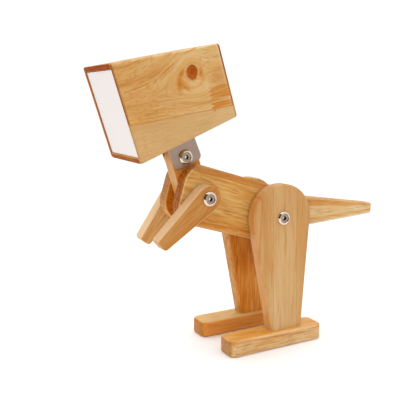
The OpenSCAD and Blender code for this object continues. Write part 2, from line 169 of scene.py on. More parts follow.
def mixColour(tree, factor, first, second, blend="MIX"):
    node = addNode(
        tree, "ShaderNodeMix", {"data_type": "RGBA", "blend_type": blend},
        {"Factor": factor, 6: opaque(first), 7: opaque(second)},  # 6 and 7 are the colour sockets
    )
    return node.outputs[2]


def noise(tree, vector, stretch, detail, roughness=0.55):
    if isinstance(stretch, float):
        stretch = (stretch, stretch, stretch)
    node = addNode(
        tree, "ShaderNodeTexNoise", {"noise_dimensions": "3D"},
        {
            "Vector": vectorCalc(tree, "MULTIPLY", vector, stretch),
            "Scale": 1.0, "Detail": detail, "Roughness": roughness,
        },
    )
    return node.outputs["Fac"]


def addBump(tree, shader, height, strength, distance):
    bump = addNode(tree, "ShaderNodeBump", {}, {"Strength": strength, "Distance": distance, "Height": height})
    tree.links.new(bump.outputs[0], shader.inputs["Normal"])


def newMaterial(name):
    material = bpy.data.materials.new(name)
    material.use_nodes = True
    tree = material.node_tree
    tree.nodes.clear()
    output = tree.nodes.new("ShaderNodeOutputMaterial")
    shader = tree.nodes.new("ShaderNodeBsdfPrincipled")
    tree.links.new(shader.outputs["BSDF"], output.inputs["Surface"])
    return material, tree, shader


# finger-jointed wood with X along the grain, Y across the board's face and Z through it
woodColours = {
    "light": (0.67, 0.415, 0.155),
    "middle": (0.605, 0.315, 0.083),
    "amber": (0.56, 0.235, 0.034),
    "streak": (0.43, 0.150, 0.016),
    "vessel": (0.33, 0.110, 0.014),
    "deep": (0.46, 0.160, 0.016),
    "pale": (0.66, 0.44, 0.20),
    # pale colour of the rounded edges: wear and painted highlight
    "wornAndHighlight": (0.96, 0.86, 0.70),
    # painted highlight on edges
    "highlightCream": (0.71, 0.52, 0.32),
    "endTint": (0.60, 0.355, 0.20),
    # dark end-grain edges, also the painted shade line at the head's rear edge
    "endEdge": (0.26, 0.070, 0.010),
}
# marks of the grain: noise per metre along, across and through, its detail, and the values that become a mark
grainLayers = {
    "bands": {"stretch": (13.0, 110.0, 110.0), "detail": 4.0, "range": (0.32, 0.70)},
    "amber": {"stretch": (26.0, 290.0, 290.0), "detail": 3.0, "range": (0.44, 0.66)},
    "longStreaks": {"stretch": (5.0, 330.0, 330.0), "detail": 3.0, "range": (0.44, 0.68)},
    "breaks": {"stretch": (30.0, 120.0, 120.0), "detail": 2.0, "range": (0.30, 0.60)},
    "streaks": {"stretch": (32.0, 700.0, 700.0), "detail": 3.0, "range": (0.49, 0.66)},
    "vessels": {"stretch": (75.0, 760.0, 760.0), "detail": 1.0, "range": (0.55, 0.68)},
    "patches": {"stretch": (25.0, 70.0, 70.0), "detail": 2.0, "range": (0.30, 0.62)},
    "fineFlecks": {"stretch": (230.0, 620.0, 620.0), "detail": 1.0, "range": (0.52, 0.68)},
    "ringBreaks": {"stretch": (22.0, 60.0, 60.0), "detail": 2.0, "range": (0.32, 0.62)},
    "endStreaks": {"stretch": (400.0, 60.0, 620.0), "detail": 2.0, "range": (0.42, 0.66)},
    "patchGrain": {"stretch": (30.0, 420.0, 420.0), "detail": 2.0, "range": (0.35, 0.62)},
}
# slow swings that keep the grain from running straight
grainSwings = {
    "wave": {"stretch": (38.0, 55.0, 55.0), "detail": 2.0, "size": 0.0030},
    "bend": {"stretch": (7.0, 28.0, 28.0), "detail": 2.0, "size": 0.016},
}
staveSettings = {
    "fingerPitch": 0.0019, "fingerDepth": 4.5, "rowShift": 0.37, "shiftedRows": 2,
    "grainShift": (0.7, 0.06, 0.01), "seam": 0.0003, "seamSoft": 0.3, "seamShade": 0.5, "darkest": 0.72,
}
ringSettings = {
    "pith": (0.012, 0.045), "slope": 0.05, "perMetre": 62.0, "lateStart": (0.74, 0.94),
    "lateEnd": (0.95, 1.0), "shade": 0.55, "endRings": 4.0, "endRange": (0.3, 0.95), "endShade": 0.45,
}
woodSurface = {
    "bandShade": 0.8, "endStreaks": 0.5, "rough": 0.30, "bandRough": 0.10, "endRough": 0.14,
    "streakHeight": -0.35, "bump": 0.3, "bumpDistance": 0.0002,
}
woodStrengths = ("staveLength", "staveWidth", "staves", "figure", "amber", "longStreaks", "streaks", "flecks")
middleValue = 0.5  # noise and stave shades run from 0 to 1


def grainMarks(tree, vector, name):
    layer = grainLayers[name]
    return ramp(tree, noise(tree, vector, layer["stretch"], layer["detail"]), *layer["range"])


def sway(tree, vector, swing):
    centred = less(tree, noise(tree, vector, swing["stretch"], swing["detail"]), middleValue)
    return product(tree, centred, swing["size"])


def fingerSteps(tree, across):
    steps = calc(tree, "PINGPONG", across, staveSettings["fingerPitch"])
    return product(tree, steps, staveSettings["fingerDepth"])


def makeWoodGroup():
    group = bpy.data.node_groups.new("jointedWood", "ShaderNodeTree")
    for names, kind, way in (
        (("place", "grain"), "NodeSocketVector", "INPUT"),
        (("endGrain", "wearAndHighlight") + woodStrengths, "NodeSocketFloat", "INPUT"),
        (("tint",), "NodeSocketColor", "INPUT"),
        (("colour",), "NodeSocketColor", "OUTPUT"),
        (("rough", "height"), "NodeSocketFloat", "OUTPUT"),
    ):
        for name in names:
            group.interface.new_socket(name=name, in_out=way, socket_type=kind)
    inputs = group.nodes.new("NodeGroupInput").outputs
    result = group.nodes.new("NodeGroupOutput").inputs

    # staves meet in rows, with zigzag finger joints at their ends
    spot = splitVector(group, inputs["place"])
    jointed = total(group, spot["X"], fingerSteps(group, spot["Y"]))
    brick = addNode(
        group, "ShaderNodeTexBrick",
        {"offset": staveSettings["rowShift"], "offset_frequency": staveSettings["shiftedRows"]},
        {
            "Vector": joinVector(group, jointed, spot["Y"]), "Scale": 1.0,
            "Color1": (0, 0, 0, 1), "Color2": (1, 1, 1, 1), "Mortar": (0.5, 0.5, 0.5, 1),
            "Mortar Size": staveSettings["seam"], "Mortar Smooth": staveSettings["seamSoft"],
            "Brick Width": inputs["staveLength"], "Row Height": inputs["staveWidth"],
        },
    ).outputs
    stave = addNode(group, "ShaderNodeRGBToBW", {}, {0: brick["Color"]}).outputs[0]
    staveShift = joinVector(group, *(product(group, stave, shift) for shift in staveSettings["grainShift"]))
    grain = vectorCalc(group, "ADD", inputs["grain"], staveShift)
    wave = joinVector(group, y=sway(group, grain, grainSwings["wave"]))
    grain = vectorCalc(group, "ADD", grain, wave)

    # growth rings about a pith that lies outside the board
    part = splitVector(group, grain)
    sideways = total(group, part["Y"], sway(group, grain, grainSwings["bend"]), ringSettings["pith"][0])
    depth = total(group, part["Z"], ringSettings["pith"][1])
    slope = product(group, part["X"], ringSettings["slope"])
    ringPlace = product(group, total(group, length(group, sideways, depth), slope), ringSettings["perMetre"])
    phase = calc(group, "FRACT", ringPlace)
    lateWood = product(
        group, ramp(group, phase, *ringSettings["lateStart"]), fall(group, phase, *ringSettings["lateEnd"]),
        grainMarks(group, grain, "ringBreaks"), inputs["figure"], ringSettings["shade"],
    )
    endPhase = calc(group, "FRACT", product(group, ringPlace, ringSettings["endRings"]))
    endRings = product(group, ramp(group, endPhase, *ringSettings["endRange"]), inputs["endGrain"])

    # broad bands, streaks and the short dark lines of the vessels, laid over each other in turn
    bands = grainMarks(group, grain, "bands")
    streaks = grainMarks(group, grain, "streaks")
    longStreaks = product(group, grainMarks(group, grain, "longStreaks"), grainMarks(group, grain, "breaks"))
    vessels = product(group, grainMarks(group, grain, "vessels"), grainMarks(group, grain, "patches"))
    darkStave = product(group, less(group, middleValue, stave), inputs["staves"])
    darkStave = calc(group, "MINIMUM", calc(group, "MAXIMUM", darkStave, 0.0), staveSettings["darkest"])
    paleStave = product(group, less(group, stave, middleValue), inputs["staves"])
    colour = woodColours["light"]
    for strength, name in (
        (product(group, bands, woodSurface["bandShade"]), "middle"),
        (product(group, grainMarks(group, grain, "amber"), inputs["amber"]), "amber"),
        (product(group, longStreaks, inputs["longStreaks"]), "streak"),
        (darkStave, "deep"),
        (calc(group, "MAXIMUM", paleStave, 0.0), "pale"),
        (lateWood, "streak"),
        (product(group, streaks, inputs["streaks"]), "streak"),
        (product(group, vessels, inputs["flecks"]), "vessel"),
        (product(group, brick["Fac"], inputs["staves"], staveSettings["seamShade"]), "streak"),
        # last, the rounded edges go pale: wear and painted highlight
        (inputs["wearAndHighlight"], "wornAndHighlight"),
    ):
        colour = mixColour(group, strength, colour, woodColours[name])
    colour = mixColour(group, 1.0, colour, inputs["tint"], "MULTIPLY")

    # end grain is darker, with rings and rays
    rays = product(group, grainMarks(group, grain, "endStreaks"), woodSurface["endStreaks"])
    endShade = total(group, product(group, endRings, ringSettings["endShade"]), rays)
    ended = mixColour(group, endShade, colour, woodColours["vessel"])
    ended = mixColour(group, 1.0, ended, woodColours["endTint"], "MULTIPLY")
    rough = total(group, product(group, bands, woodSurface["bandRough"]), woodSurface["rough"])
    rough = total(group, rough, product(group, inputs["endGrain"], woodSurface["endRough"]))
    group.links.new(mixColour(group, inputs["endGrain"], colour, ended), result["colour"])
    group.links.new(rough, result["rough"])
    height = less(group, product(group, streaks, woodSurface["streakHeight"]), vessels)
    group.links.new(height, result["height"])
    return group


woodGroup = makeWoodGroup()


# rows of a turn that takes the object's frame to the grain's frame; the angle is the rise towards the tail
def boardTurn(angle, lie="upright"):
    tilt = math.radians(angle)
    lengthways = Vector((math.cos(tilt), 0.0, math.sin(tilt)))
    upwards = Vector((-math.sin(tilt), 0.0, math.cos(tilt)))
    sideways = Vector((0.0, 1.0, 0.0))
    lies = {"upright": (lengthways, upwards), "lying": (lengthways, sideways), "cross": (sideways, upwards)}
    grain, across = lies[lie]
    return Matrix((grain, across, grain.cross(across)))


# grain that rises over a knot and flows round it; the knot is at the board's own origin
def aroundKnot(tree, local, knot):
    spot = splitVector(tree, local)
    ratio = calc(tree, "DIVIDE", less(tree, spot["X"], knot["hillPlace"]), knot["hillWidth"])
    bell = calc(tree, "EXPONENT", product(tree, ratio, ratio, -1.0))
    jointed = total(tree, spot["X"], fingerSteps(tree, spot["Y"]))
    above = ramp(tree, spot["Y"], *knot["hillRise"])
    hill = product(tree, bell, fall(tree, jointed, *knot["flowEnd"]), above, knot["hillHeight"])
    wobble = sway(tree, local, knot["wobble"])
    along = calc(tree, "DIVIDE", total(tree, spot["X"], wobble), knot["stretch"])
    distance = length(tree, along, less(tree, spot["Y"], wobble))
    core = knot["reach"] ** 2
    push = calc(tree, "DIVIDE", core, total(tree, product(tree, distance, distance), core))
    pushed = product(tree, spot["Y"], less(tree, 1.0, push))
    return joinVector(tree, spot["X"], less(tree, pushed, hill), spot["Z"]), distance


def knotColours(tree, colour, distance, local, knot):
    radius = knot["radius"]
    reach = {name: (radius * start, radius * end) for name, (start, end) in knot["reaches"].items()}
    strength = knot["strengths"]
    halo = product(tree, fall(tree, distance, *reach["halo"]), strength["halo"])
    colour = mixColour(tree, halo, colour, knot["halo"])
    fromArc = absolute(tree, less(tree, distance, knot["arc"]))
    lowHalf = fall(tree, splitVector(tree, local)["Y"], *reach["lowHalf"])
    arc = product(tree, fall(tree, fromArc, 0.0, knot["arcHalf"]), lowHalf, strength["arc"])
    colour = mixColour(tree, arc, colour, knot["halo"])
    swirl = product(tree, noise(tree, local, knot["swirlScale"], knot["swirlDetail"]), knot["swirl"])
    rings = calc(tree, "SINE", total(tree, product(tree, distance, knot["rings"]), swirl))
    pale = product(tree, ramp(tree, rings, *knot["ringRange"]), strength["rings"])
    inside = mixColour(tree, pale, knot["middle"], knot["light"])
    upRight = alongWay(tree, local, knot["darkWay"])
    border = product(tree, ramp(tree, distance, *reach["border"]), ramp(tree, upRight, *reach["darkSide"]))
    inside = mixColour(tree, product(tree, border, strength["border"]), inside, knot["dark"])
    softer = product(tree, fall(tree, upRight, *reach["softSide"]), radius * knot["softEdge"])
    edgeStart, edgeEnd = reach["edge"]
    edge = fall(tree, distance, edgeStart, total(tree, softer, edgeEnd))
    return mixColour(tree, product(tree, edge, strength["edge"]), colour, inside)


# a glue seam, smoother wood below it and a finger-jointed patch above it
def jointMarks(tree, colour, local, marks):
    spot = splitVector(tree, local)
    seamLine = total(tree, product(tree, spot["X"], marks["seamSlope"]), marks["seamPlace"])
    overSeam = less(tree, spot["Y"], seamLine)
    below = fall(tree, overSeam, -marks["seamSoft"], marks["seamSoft"])
    colour = mixColour(tree, product(tree, below, marks["smoothBelow"]), colour, marks["below"])
    fingers = product(tree, fingerSteps(tree, spot["Y"]), marks["patchFingers"])
    fromGap = absolute(tree, less(tree, spot["Y"], marks["patchGap"]))
    inPatch = product(
        tree, ramp(tree, total(tree, spot["X"], fingers), *marks["patchStart"]),
        fall(tree, spot["Y"], *marks["patchTop"]),
        ramp(tree, fromGap, *marks["gapHalf"]), less(tree, 1.0, below),
    )
    grainy = product(tree, grainMarks(tree, local, "patchGrain"), marks["patchGrain"])
    patch = product(tree, inPatch, total(tree, grainy, marks["patchShade"]))
    colour = mixColour(tree, patch, colour, woodColours["deep"])
    line = product(tree, fall(tree, absolute(tree, overSeam), 0.0, marks["seamWidth"]), marks["seamShade"])
    return mixColour(tree, line, colour, woodColours["streak"])


smudgeSettings = {"raggedScale": 420.0, "detail": 2.0, "ragged": 0.9, "fade": (0.45, 1.65)}


# dark smudges; each has its place, half length and half width, angle in degrees and strength
def smudgeMarks(tree, colour, local, marks):
    ragged = noise(tree, local, smudgeSettings["raggedScale"], smudgeSettings["detail"])
    ragged = product(tree, ragged, smudgeSettings["ragged"])
    for place, (halfLength, halfWidth), angle, strength in marks["smudges"]:
        turn = math.radians(angle)
        away = vectorCalc(tree, "SUBTRACT", local, (*place, 0.0))
        lengthways = alongWay(tree, away, (math.cos(turn) / halfLength, math.sin(turn) / halfLength))
        sideways = alongWay(tree, away, (-math.sin(turn) / halfWidth, math.cos(turn) / halfWidth))
        reach = total(tree, length(tree, lengthways, sideways), ragged)
        shade = product(tree, fall(tree, reach, *smudgeSettings["fade"]), strength)
        colour = mixColour(tree, shade, colour, marks["colour"])
    return colour


# a dark line along the head's rear edge, partly end grain and partly painted shade, with a pale line of
# painted highlight beside it
def rearShadeAndHighlight(tree, colour, local, line):
    slant = math.radians(line["slant"])
    toRear = less(tree, line["place"], alongWay(tree, local, (math.cos(slant), math.sin(slant))))
    pale = product(tree, fall(tree, toRear, *line["pale"]), line["highlightStrength"])
    colour = mixColour(tree, pale, colour, woodColours["highlightCream"])
    return mixColour(tree, fall(tree, toRear, *line["dark"]), colour, woodColours["endEdge"])


# faces by the way they look in the grain's frame: the axis, whether both ways count, and how squarely;
# plusSide is the top of an upright board and the right side of a lying one
faceMasks = {
    "ends": {"axis": "X", "bothWays": True, "range": (0.55, 0.97)},
    "endEdges": {"axis": "X", "bothWays": True, "range": (0.10, 0.40)},
    "crossEdges": {"axis": "X", "bothWays": True, "range": (0.02, 0.20)},
    "longEdges": {"axis": "X", "bothWays": True, "range": (0.15, 0.03)},  # falls, so it leaves out the ends
    "sides": {"axis": "Y", "bothWays": True, "range": (0.45, 0.85)},
    "plusSide": {"axis": "Y", "bothWays": False, "range": (0.86, 0.96)},
    "face": {"axis": "Z", "bothWays": False, "range": (0.6, 0.9)},
    "notBack": {"axis": "Z", "bothWays": False, "range": (-0.9, -0.6)},
}


def faceMask(tree, facing, name):
    mask = faceMasks[name]
    look = facing[mask["axis"]]
    return ramp(tree, absolute(tree, look) if mask["bothWays"] else look, *mask["range"])


# where a shade's tint applies: on some faces, along a fade or in a band
def shadeReach(tree, local, facing, shade):
    parts = []
    if "on" in shade:
        parts.append(faceMask(tree, facing, shade["on"]))
    if "fade" in shade:
        parts.append(ramp(tree, alongWay(tree, local, shade["way"]), *shade["fade"]))
    if "band" in shade:
        middle, half = shade["band"]
        away = absolute(tree, less(tree, alongWay(tree, local, shade["way"]), middle))
        parts.append(fall(tree, away, 0.0, half))
    return product(tree, *parts)


def makeWood(name, settings):
    material, tree, shader = newMaterial(name)
    turn = settings["turn"]
    coords = addNode(tree, "ShaderNodeTexCoord", {}, {}).outputs
    local = turnedBy(tree, coords["Object"], turn, -(turn @ Vector(settings["origin"])))
    facing = splitVector(tree, turnedBy(tree, coords["Normal"], turn))
    # the rounded edges along the grain are painted pale, partly wear and partly painted highlight
    wornAndHighlight = addNode(tree, "ShaderNodeAttribute", {"attribute_name": "roundedEdge"}, {}).outputs["Fac"]
    wearAndHighlight = product(tree, faceMask(tree, facing, "longEdges"), settings["wearAndHighlight"])
    # a painted highlight on the rounded edges across the grain
    if "endEdgeHighlight" in settings:
        wearAndHighlight = total(tree, wearAndHighlight, product(tree, faceMask(tree, facing, "endEdges"), settings["endEdgeHighlight"]))
    knot = settings.get("knot")
    flow, distance = aroundKnot(tree, local, knot) if knot else (local, None)
    values = {strength: settings[strength] for strength in woodStrengths}
    values["place"] = vectorCalc(tree, "ADD", local, settings["seed"])
    values["grain"] = vectorCalc(tree, "ADD", flow, settings["seed"])
    values["endGrain"] = product(tree, faceMask(tree, facing, "ends"), settings["ends"])
    values["wearAndHighlight"] = product(tree, wornAndHighlight, wearAndHighlight)
    values["tint"] = opaque(settings["tint"])
    wood = addNode(tree, "ShaderNodeGroup", {"node_tree": woodGroup}, values).outputs
    colour = wood["colour"]
    for shade in settings["shades"]:
        colour = mixColour(tree, shadeReach(tree, local, facing, shade), colour, shade["tint"], "MULTIPLY")
    # the edge faces are painted pale as a highlight
    if "sideEdgeHighlight" in settings:
        pale = product(tree, faceMask(tree, facing, "sides"), settings["sideEdgeHighlight"])
        colour = mixColour(tree, pale, colour, woodColours["highlightCream"])
    # painted shade and painted highlight along the head's rear edge
    if "rearShadeAndHighlight" in settings:
        colour = rearShadeAndHighlight(tree, colour, local, settings["rearShadeAndHighlight"])
    if "darkEdge" in settings:
        edge = product(tree, wornAndHighlight, faceMask(tree, facing, "crossEdges"), settings["darkEdge"])
        colour = mixColour(tree, edge, colour, woodColours["endEdge"])
    if "fineFlecks" in settings:
        front = fall(tree, splitVector(tree, local)["X"], *settings["fineReach"])
        fine = product(tree, grainMarks(tree, flow, "fineFlecks"), front, settings["fineFlecks"])
        colour = mixColour(tree, fine, colour, woodColours["streak"])
    if "joints" in settings:
        colour = jointMarks(tree, colour, local, settings["joints"])
    if "marks" in settings:
        colour = smudgeMarks(tree, colour, local, settings["marks"])
    if knot:
        colour = knotColours(tree, colour, distance, local, knot)
    tree.links.new(colour, shader.inputs["Base Color"])
    tree.links.new(wood["rough"], shader.inputs["Roughness"])
    addBump(tree, shader, wood["height"], woodSurface["bump"], woodSurface["bumpDistance"])
    shader.inputs["Specular IOR Level"].default_value = settings["gloss"]
    return material


# metals; the tone attribute darkens the dished parts of turned metal, and the near-black socket walls are
# painted shade
metalSurface = {
    "detail": 2.0, "cloudScale": 90.0, "cloudShare": 0.5, "shadeRange": (0.2, 0.9), "darkShare": 0.86,
    "hollowAndShade": (0.050, 0.022, 0.014), "hollowRough": 0.2, "roughShare": 0.25,
    "bumpShare": 0.3, "bumpDistance": 0.00005,
}
metals = {
    "bolt_steel": {
        "name": "boltSteel", "colour": (0.81, 0.665, 0.53), "rough": 0.08, "brushed": 0.15, "grain": 900.0,
        "tone": "boltTone",
    },
    "bracket_steel": {
        "name": "bracketSteel", "colour": (0.385, 0.284, 0.227), "rough": 0.34, "brushed": 0.6,
        "grain": (120.0, 2400.0, 2400.0),
    },
    "screw_steel": {
        "name": "screwSteel", "colour": (0.66, 0.65, 0.63), "rough": 0.3, "brushed": 0.2, "grain": 900.0,
    },
    "pin_brass": {
        "name": "pinBrass", "colour": (0.78, 0.62, 0.33), "rough": 0.22, "brushed": 0.2, "grain": 900.0,
    },
}


def makeMetal(settings):
    material, tree, shader = newMaterial(settings["name"])
    coords = addNode(tree, "ShaderNodeTexCoord", {}, {}).outputs["Object"]
    brushed = settings["brushed"]
    fine = noise(tree, coords, settings["grain"], metalSurface["detail"])
    cloud = noise(tree, coords, metalSurface["cloudScale"], metalSurface["detail"])
    mottle = total(tree, product(tree, fine, brushed), product(tree, cloud, metalSurface["cloudShare"]))
    dark = [part * metalSurface["darkShare"] for part in settings["colour"]]
    base = mixColour(tree, ramp(tree, mottle, *metalSurface["shadeRange"]), dark, settings["colour"])
    rough = total(tree, product(tree, fine, brushed * metalSurface["roughShare"]), settings["rough"])
    if "tone" in settings:
        tone = addNode(tree, "ShaderNodeAttribute", {"attribute_name": settings["tone"]}, {}).outputs["Fac"]
        base = mixColour(tree, tone, metalSurface["hollowAndShade"], base)
        rough = total(tree, rough, product(tree, less(tree, 1.0, tone), metalSurface["hollowRough"]))
    tree.links.new(base, shader.inputs["Base Color"])
    tree.links.new(rough, shader.inputs["Roughness"])
    addBump(tree, shader, fine, brushed * metalSurface["bumpShare"], metalSurface["bumpDistance"])
    shader.inputs["Metallic"].default_value = 1.0
    return material


plasticSurface = {
    "cloudScale": 45.0, "cloudDetail": 3.0, "grainScale": 1800.0, "grainDetail": 2.0, "grainRough": 0.12,
    "bump": 0.08, "bumpDistance": 0.00004,
}
plastics = {
    "nylon": {"name": "nylon", "colour": (0.80, 0.78, 0.73), "rough": 0.42, "speckle": 0.04},
    "opal": {"name": "opal", "colour": (0.665, 0.615, 0.592), "rough": 0.38, "speckle": 0.02},
    "light_board": {"name": "lightBoard", "colour": (0.86, 0.86, 0.84), "rough": 0.45, "speckle": 0.03},
    "light_chip": {"name": "lightChip", "colour": (0.90, 0.74, 0.30), "rough": 0.3, "speckle": 0.05},
    "white_plastic": {"name": "whitePlastic", "colour": (0.80, 0.80, 0.78), "rough": 0.4, "speckle": 0.03},
    "black_plastic": {"name": "blackPlastic", "colour": (0.02, 0.02, 0.022), "rough": 0.32, "speckle": 0.3},
}


def makePlastic(settings):
    material, tree, shader = newMaterial(settings["name"])
    coords = addNode(tree, "ShaderNodeTexCoord", {}, {}).outputs["Object"]
    cloud = noise(tree, coords, plasticSurface["cloudScale"], plasticSurface["cloudDetail"])
    grain = noise(tree, coords, plasticSurface["grainScale"], plasticSurface["grainDetail"])
    pale = [min(part * (1.0 + settings["speckle"]), 1.0) for part in settings["colour"]]
    rough = total(tree, product(tree, grain, plasticSurface["grainRough"]), settings["rough"])
    tree.links.new(mixColour(tree, cloud, settings["colour"], pale), shader.inputs["Base Color"])
    tree.links.new(rough, shader.inputs["Roughness"])
    addBump(tree, shader, grain, plasticSurface["bump"], plasticSurface["bumpDistance"])
    return material


slotMaterials = {slot: makeMetal(settings) for slot, settings in metals.items()}
slotMaterials.update({slot: makePlastic(settings) for slot, settings in plastics.items()})
nodeSlots = {row["node"]: row["material_slot"] for row in frame["record"]["subparts"]}
nodeBodies = {name: body for body, names in frame["record"]["behaviour"]["bodies"].items() for name in names}
print("materials made")


# joins a finished mesh to the scene in place of a CAD node
def dress(nodeName, shape):
    mesh = bpy.data.meshes.new("dressed_" + nodeName)
    for face in shape.faces:
        face.smooth = True
    shape.to_mesh(mesh)
    shape.free()
    piece = bpy.data.objects.new("dressed_" + nodeName, mesh)
    scene.collection.objects.link(piece)
    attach(piece, nodeBodies[nodeName])
    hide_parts(nodeName)
    return piece


def paint(piece, material):
    piece.data.materials.clear()
    piece.data.materials.append(material)


# which edges of a CAD copy are rounded; angles are in degrees, and a rim reach of 1 m takes in every edge
roundDefaults = {"sharp": 30.0, "holes": (), "innerFace": 0.0, "seatHeight": 0.0, "rimReach": 1.0, "steps": 4}
mergeSettings = {"distance": 2e-6, "flatAngle": 0.3, "crispAngle": 30.0, "alongGrain": 0.9}


# edges to round; blunter ones stay as crisp lines
def sharpEdges(shape, settings):
    found = []
    for edge in shape.edges:
        angle = edge.calc_face_angle(0.0) if len(edge.link_faces) == 2 else 0.0
        if angle > math.radians(settings["sharp"]):
            found.append(edge)
        elif angle > math.radians(mergeSettings["crispAngle"]):
            edge.smooth = False
    return found


def isLongOuterEdge(edge, settings):
    start, end = edge.verts[0].co, edge.verts[1].co
    withGrain = abs((start - end).normalized().dot(settings["turn"][0]))
    return abs(start.y) > settings["outerFace"] and withGrain > mergeSettings["alongGrain"]


# bolt holes, the torso's inside, a leg's seat and the middle of a foot keep crisp edges
def staysCrisp(edge, settings, low, high):
    middle = (edge.verts[0].co + edge.verts[1].co) / 2
    inHole = any(
        math.hypot(middle.x - place[0], middle.z - place[1]) < reach for place, reach in settings["holes"]
    )
    inside = abs(middle.y) < settings["innerFace"] and middle.x > lamp["shoulder"][0]
    toRim = min(middle.x - low.x, high.x - middle.x, middle.y - low.y, high.y - middle.y)
    return inHole or inside or middle.z < settings["seatHeight"] or toRim > settings["rimReach"]


def roundEdges(shape, edges, radius, steps, wearAndHighlight):
    made = bmesh.ops.bevel(
        shape, geom=edges, offset=radius, offset_type="OFFSET", segments=steps,
        profile=0.5, affect="EDGES", clamp_overlap=False, material=-1,
    )
    rounded = set(made["faces"])
    for vert in made["verts"]:
        vert[wearAndHighlight] = 1.0 if all(face in rounded for face in vert.link_faces) else 0.0


# a merged copy of a CAD node whose sharp outer edges are rounded; the new faces carry a rounded-edge mask,
# which the wood paints with pale wear and painted highlight
def roundedCopy(nodeName, settings):
    shape = bmesh.new()
    shape.from_mesh(frame["nodes"][nodeName].data)
    wearAndHighlight = shape.verts.layers.float.new("roundedEdge")
    bmesh.ops.remove_doubles(shape, verts=shape.verts, dist=mergeSettings["distance"])
    bmesh.ops.dissolve_limit(
        shape, angle_limit=math.radians(mergeSettings["flatAngle"]), verts=shape.verts, edges=shape.edges,
    )
    if "longRadius" in settings:
        longEdges = [edge for edge in sharpEdges(shape, settings) if isLongOuterEdge(edge, settings)]
        roundEdges(shape, longEdges, settings["longRadius"], settings["steps"], wearAndHighlight)
    low = Vector([min(vert.co[axis] for vert in shape.verts) for axis in range(3)])
    high = Vector([max(vert.co[axis] for vert in shape.verts) for axis in range(3)])
    chosen = []
    for edge in sharpEdges(shape, settings):
        if staysCrisp(edge, settings, low, high):
            edge.smooth = False
        else:
            chosen.append(edge)
    roundEdges(shape, chosen, settings["radius"], settings["steps"], wearAndHighlight)
    piece = dress(nodeName, shape)
    weighted = piece.modifiers.new("evenNormals", "WEIGHTED_NORMAL")
    weighted.mode = "FACE_AREA_WITH_ANGLE"
    weighted.keep_sharp = True
    return piece


# boards, in the grain's frame: a seed picks the stretch of grain, and shades tint parts of a board; some
# shades are painted light and shade, as noted at each
boardDefaults = {
    **roundDefaults, "staveLength": 0.6, "staveWidth": 0.0235, "staves": 0.5, "figure": 0.8, "amber": 0.55,
    "longStreaks": 0.2, "streaks": 0.62, "flecks": 0.4, "ends": 1.0, "wearAndHighlight": 0.22, "gloss": 0.13,
    "tint": (1.0, 1.0, 1.0), "shades": (),
}
along = (1.0, 0.0)
across = (0.0, 1.0)
boltReach = 0.006
shoulderHole, hipHole, headHole = ((lamp[joint], boltReach) for joint in ("shoulder", "hip", "headPivot"))
shoulderPlace = (lamp["shoulder"][0], 0.0, lamp["shoulder"][1])
hipPlace = (lamp["hip"][0], 0.0, lamp["hip"][1])
